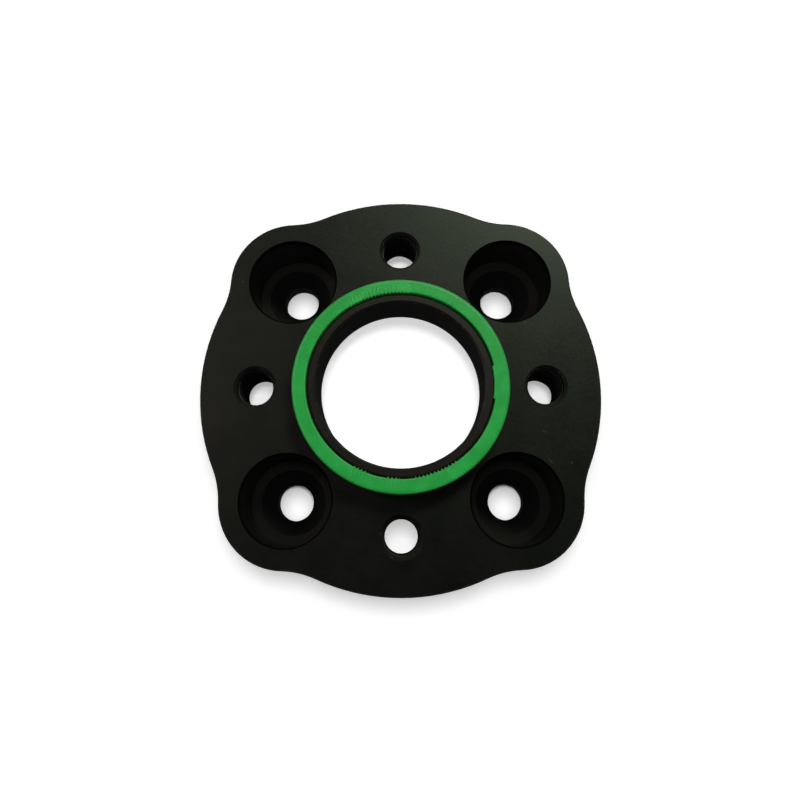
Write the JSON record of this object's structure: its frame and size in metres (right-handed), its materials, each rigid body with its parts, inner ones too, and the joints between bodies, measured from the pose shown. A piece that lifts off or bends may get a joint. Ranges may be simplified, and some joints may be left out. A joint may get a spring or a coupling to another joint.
{
  "type": "wheel spacer",
  "caption": "Black bolt-on wheel spacer plate with rounded lobes round deep stepped lug holes, threaded holes between them and a green hub-centring ring.",
  "frame": {"origin": "centre of the hub face, on the wheel axis, at the level that the spacer stands on", "axes": "+Z along the wheel axis from the hub to the wheel; X and Y through the threaded holes, so the lug holes lie on the diagonals"},
  "size_m": [0.1376, 0.1376, 0.037],
  "materials": {
    "black_anodised_aluminium": "satin",
    "green_ring_plastic": "semi-gloss"
  },
  "bodies": {
    "root": {"spacer_plate": "black_anodised_aluminium", "centring_ring": "green_ring_plastic"}
  },
  "joints": []
}
